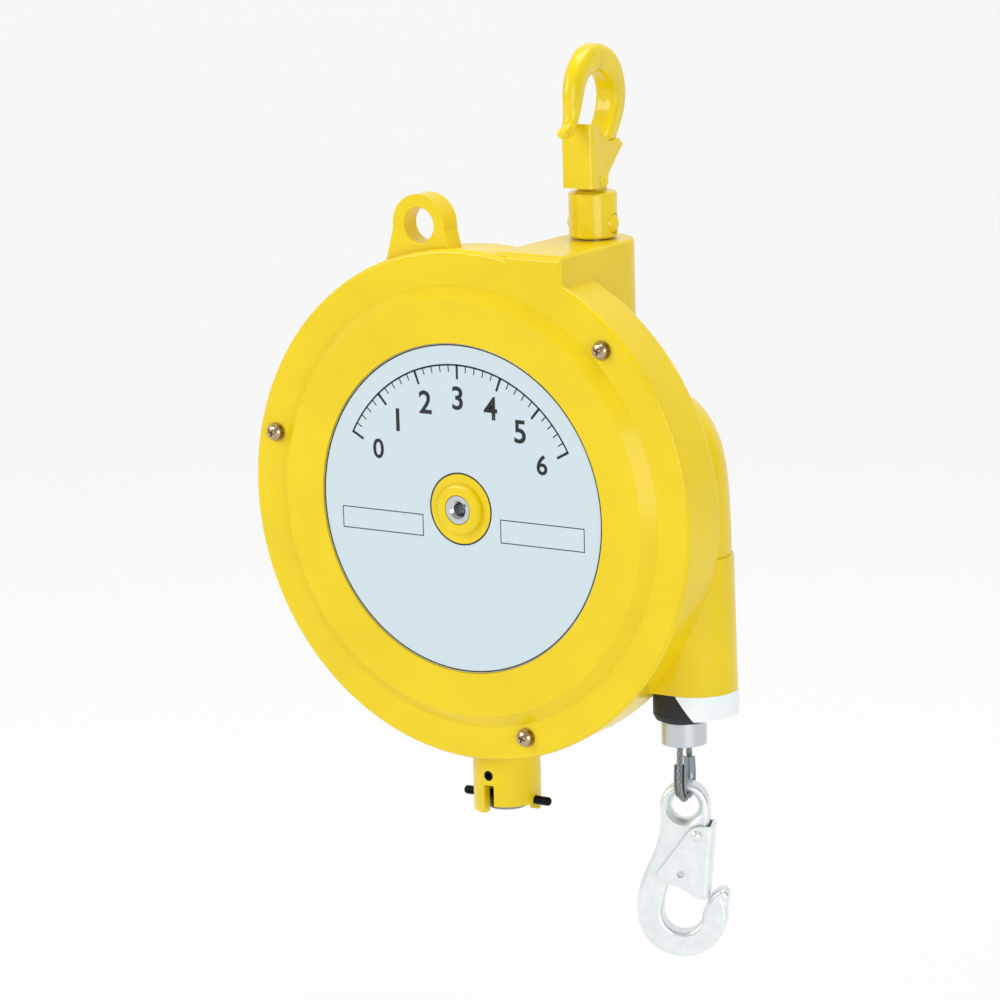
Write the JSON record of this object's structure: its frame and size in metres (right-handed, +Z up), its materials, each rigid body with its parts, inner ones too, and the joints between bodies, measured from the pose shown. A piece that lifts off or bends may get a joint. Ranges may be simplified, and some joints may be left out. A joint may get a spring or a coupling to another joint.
{
  "type": "tool balancer",
  "caption": "Spring balancer: round yellow case with a coiled-rope drum, swivel top hook, safety ear, and a latched load hook on a wire rope.",
  "frame": {"origin": "seat of the top hook, on the axis of its swivel", "axes": "+Z up along the swivel, +Y from the front cover towards the back, +X towards the rope side"},
  "size_m": [0.2552, 0.0959, 0.4475],
  "materials": {
    "case_paint": "gloss powder coat",
    "hook_paint": "gloss powder coat",
    "plate": "satin printed sheet",
    "bronze": "machined",
    "bright_steel": "turned",
    "black_steel": "black oxide",
    "zinc": "bright zinc plate",
    "yellow_zinc": "yellow passivated zinc plate",
    "cast_aluminium": "as cast and turned",
    "rope_steel": "stranded galvanised wire",
    "spring_steel": "blued",
    "white_nylon": "moulded",
    "black_rubber": "moulded"
  },
  "bodies": {
    "hanger": {"top_hook": "hook_paint", "hook_stem": "bright_steel", "stem_pin": "bright_steel", "stem_nut": "zinc", "thrust_washer": "bright_steel", "top_latch_rivet": "bright_steel"},
    "top_latch": {"top_latch": "hook_paint"},
    "case": {"main_case": "case_paint", "front_cover": "case_paint", "nameplate": "plate", "cover_screws": "zinc", "cover_spring_washers": "bright_steel", "cover_plain_washers": "yellow_zinc", "front_bush": "bronze", "rear_bush": "bronze", "worm_bushes": "bronze", "worm_cover": "case_paint", "worm_cover_screws": "zinc", "rope_guide": "white_nylon", "lock_sleeve": "bright_steel", "lock_set_screw": "black_steel", "lock_spring": "spring_steel"},
    "shaft": {"main_shaft": "bright_steel", "shaft_circlips": "black_steel", "worm_wheel": "bronze"},
    "worm": {"worm_shaft": "bright_steel"},
    "drum": {"rope_drum": "cast_aluminium", "drum_bushes": "bronze", "rope_wrap": "rope_steel", "spring_barrel": "zinc", "barrel_cover": "zinc", "barrel_screws": "zinc", "power_spring": "spring_steel"},
    "rope_end": {"rope_run": "rope_steel", "rope_bumper": "black_rubber", "rope_ferrule": "cast_aluminium", "rope_loop": "rope_steel", "thimble": "zinc"},
    "lower_hook": {"lower_hook": "zinc", "lower_latch_rivet": "zinc"},
    "lower_latch": {"lower_latch": "zinc"},
    "lock_pin": {"lock_plunger": "bright_steel", "lock_handle": "black_steel"}
  },
  "joints": [
    {"name": "hook_swivel", "type": "hinge", "parent": "hanger", "child": "case", "pos_m": [0, 0, 0], "axis": [0, 0, 1], "continuous": true},
    {"name": "top_latch_pivot", "type": "hinge", "parent": "hanger", "child": "top_latch", "pos_m": [0.0004, -0.00458, -0.0526], "axis": [0.9962, 0.0872, 0], "range_deg": [-35, 0], "stiffness_Nm_per_rad": 0.02, "springref_deg": 20.05},
    {"name": "tension_adjust", "type": "hinge", "parent": "case", "child": "shaft", "pos_m": [-0.0391, -0.025, -0.2092], "axis": [0, 1, 0], "range_deg": [0, 1800]},
    {"name": "worm_turn", "type": "hinge", "parent": "case", "child": "worm", "pos_m": [-0.0391, 0.01, -0.2392], "axis": [1, 0, 0], "range_deg": [0, 54000]},
    {"name": "drum_spin", "type": "hinge", "parent": "case", "child": "drum", "pos_m": [-0.0391, -0.035, -0.2092], "axis": [0, 1, 0], "range_deg": [0, 1470], "stiffness_Nm_per_rad": 0.045, "springref_deg": -4297.18},
    {"name": "rope_pull", "type": "slide", "parent": "case", "child": "rope_end", "axis": [0, 0, -1], "range_m": [0, 2.54], "deforming": ["rope_run"]},
    {"name": "load_hook_swing", "type": "hinge", "parent": "rope_end", "child": "lower_hook", "pos_m": [0.0596, -0.021, -0.3538], "axis": [-0.4067, 0.9135, 0], "range_deg": [-45, 45]},
    {"name": "load_latch_pivot", "type": "hinge", "parent": "lower_hook", "child": "lower_latch", "pos_m": [0.06526, -0.01848, -0.3706], "axis": [-0.4067, 0.9135, 0], "range_deg": [0, 30], "stiffness_Nm_per_rad": 0.02, "springref_deg": -20.05},
    {"name": "lock_pull", "type": "slide", "parent": "case", "child": "lock_pin", "axis": [0, 0, -1], "range_m": [0, 0.004], "stiffness_N_per_m": 800, "springref_m": -0.004}
  ],
  "couplings": [
    {"joint": "worm_turn", "follows": "tension_adjust", "ratio": 30},
    {"joint": "rope_pull", "follows": "drum_spin", "m_per_rad": 0.0986}
  ]
}
